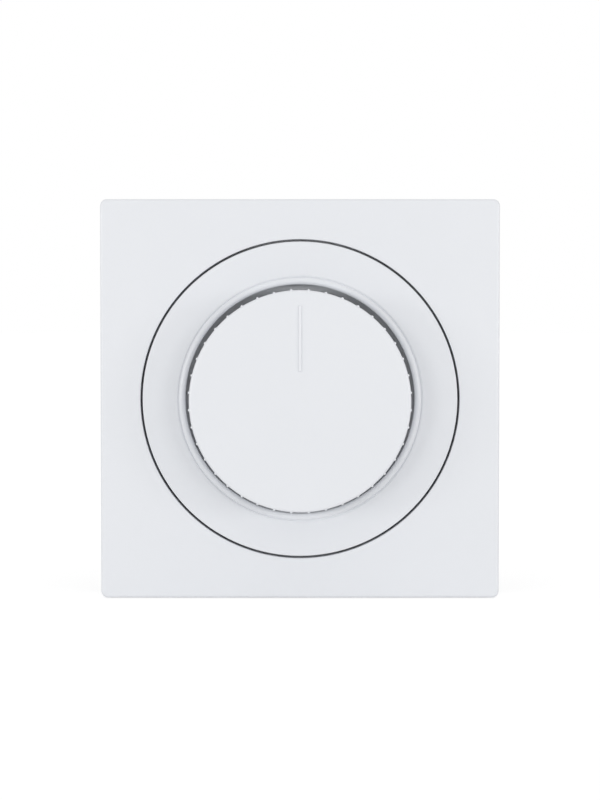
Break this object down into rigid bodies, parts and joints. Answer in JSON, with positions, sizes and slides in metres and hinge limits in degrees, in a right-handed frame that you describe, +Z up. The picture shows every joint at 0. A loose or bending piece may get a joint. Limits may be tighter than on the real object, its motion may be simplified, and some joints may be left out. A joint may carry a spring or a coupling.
{
  "type": "rotary dimmer switch",
  "caption": "Flush wall dimmer: square white frame with a dished round inset and a ribbed push-and-turn knob with an index bar, over a steel strap, claws and a wired rear housing.",
  "frame": {"origin": "on the wall plane, where the knob's axis meets it, midway between the wall box screws", "axes": "+X to the right seen from the room, +Y into the wall along the knob's axis, +Z up"},
  "size_m": [0.0816, 0.0509, 0.0816],
  "materials": {
    "white_plastic": "smooth satin-gloss white moulding",
    "zinc_steel": "zinc plated sheet and screws",
    "spring_steel": "bright spring steel",
    "nickel_brass": "nickel plated brass",
    "shaft_alloy": "turned aluminium",
    "bare_brass": "bare brass",
    "tinned_wire": "tinned wire",
    "housing_plastic": "fine grained mid grey thermoplastic",
    "terminal_plastic": "light grey nylon",
    "black_plastic": "black moulding",
    "black_epoxy": "black epoxy",
    "brown_phenolic": "brown phenolic laminate",
    "board_laminate": "tan phenolic board",
    "grey_pad": "grey silicone pad",
    "core_coating": "yellow coated iron powder",
    "copper_wire": "enamelled copper",
    "film_case": "grey film capacitor case",
    "film_case_small": "red film capacitor case",
    "resistor_coating": "beige lacquer",
    "diac_coating": "blue glass diode body",
    "clear_glass": "clear glass tube"
  },
  "bodies": {
    "base": {"bushing_nuts": "nickel_brass", "centre_cover": "white_plastic", "choke_core": "core_coating", "choke_winding": "copper_wire", "circuit_board": "board_laminate", "claw_pins": "zinc_steel", "cover_frame": "white_plastic", "cover_washer": "zinc_steel", "diac": "diac_coating", "filter_capacitor": "film_case", "fixed_contacts": "bare_brass", "fuse_caps": "nickel_brass", "fuse_clips": "bare_brass", "fuse_tube": "clear_glass", "fuse_wire": "tinned_wire", "housing_screws": "zinc_steel", "mounting_strap": "zinc_steel", "pot_bushing": "nickel_brass", "pot_case": "zinc_steel", "pot_terminals": "tinned_wire", "pot_track": "brown_phenolic", "rear_housing": "housing_plastic", "resistors": "resistor_coating", "return_spring": "spring_steel", "switch_body": "black_plastic", "terminal_block": "terminal_plastic", "terminal_cages": "bare_brass", "terminal_screws": "zinc_steel", "timing_capacitor": "film_case_small", "triac_body": "black_epoxy", "triac_leads": "tinned_wire", "triac_nut": "zinc_steel", "triac_pad": "grey_pad", "triac_screw": "zinc_steel", "triac_tab": "shaft_alloy"},
    "rotor": {"pot_rotor": "black_plastic", "pot_wiper": "bare_brass"},
    "knob": {"knob": "white_plastic", "knob_spring_ring": "spring_steel", "pot_shaft": "shaft_alloy"},
    "switch_slider": {"switch_slider": "black_plastic", "moving_contact": "bare_brass"},
    "claw_left": {"claw_left": "zinc_steel"},
    "claw_right": {"claw_right": "zinc_steel"},
    "claw_screw_left": {"claw_screw_left": "zinc_steel"},
    "claw_screw_right": {"claw_screw_right": "zinc_steel"}
  },
  "joints": [
    {"name": "knob_turn", "type": "hinge", "parent": "base", "child": "rotor", "pos_m": [0, 0, 0], "axis": [0, 1, 0], "range_deg": [-135, 135]},
    {"name": "knob_push", "type": "slide", "parent": "rotor", "child": "knob", "axis": [0, 1, 0], "range_m": [0, 0.0012], "stiffness_N_per_m": 1500, "springref_m": -0.0015},
    {"name": "switch_travel", "type": "slide", "parent": "base", "child": "switch_slider", "axis": [0, 1, 0], "range_m": [0, 0.0012], "deforming": ["return_spring"]},
    {"name": "claw_screw_left_turn", "type": "hinge", "parent": "base", "child": "claw_screw_left", "pos_m": [-0.0252, 0, 0.009], "axis": [0, 1, 0], "range_deg": [0, 1080]},
    {"name": "claw_left_swing", "type": "hinge", "parent": "base", "child": "claw_left", "pos_m": [-0.0216, 0.011, 0.009], "axis": [0, 0, 1], "range_deg": [0, 24]},
    {"name": "claw_screw_right_turn", "type": "hinge", "parent": "base", "child": "claw_screw_right", "pos_m": [0.0252, 0, -0.009], "axis": [0, 1, 0], "range_deg": [0, 1080]},
    {"name": "claw_right_swing", "type": "hinge", "parent": "base", "child": "claw_right", "pos_m": [0.0216, 0.011, -0.009], "axis": [0, 0, -1], "range_deg": [0, 24]}
  ],
  "couplings": [
    {"joint": "switch_travel", "follows": "knob_push", "ratio": 1},
    {"joint": "claw_left_swing", "follows": "claw_screw_left_turn", "ratio": 0.022222},
    {"joint": "claw_right_swing", "follows": "claw_screw_right_turn", "ratio": 0.022222}
  ]
}
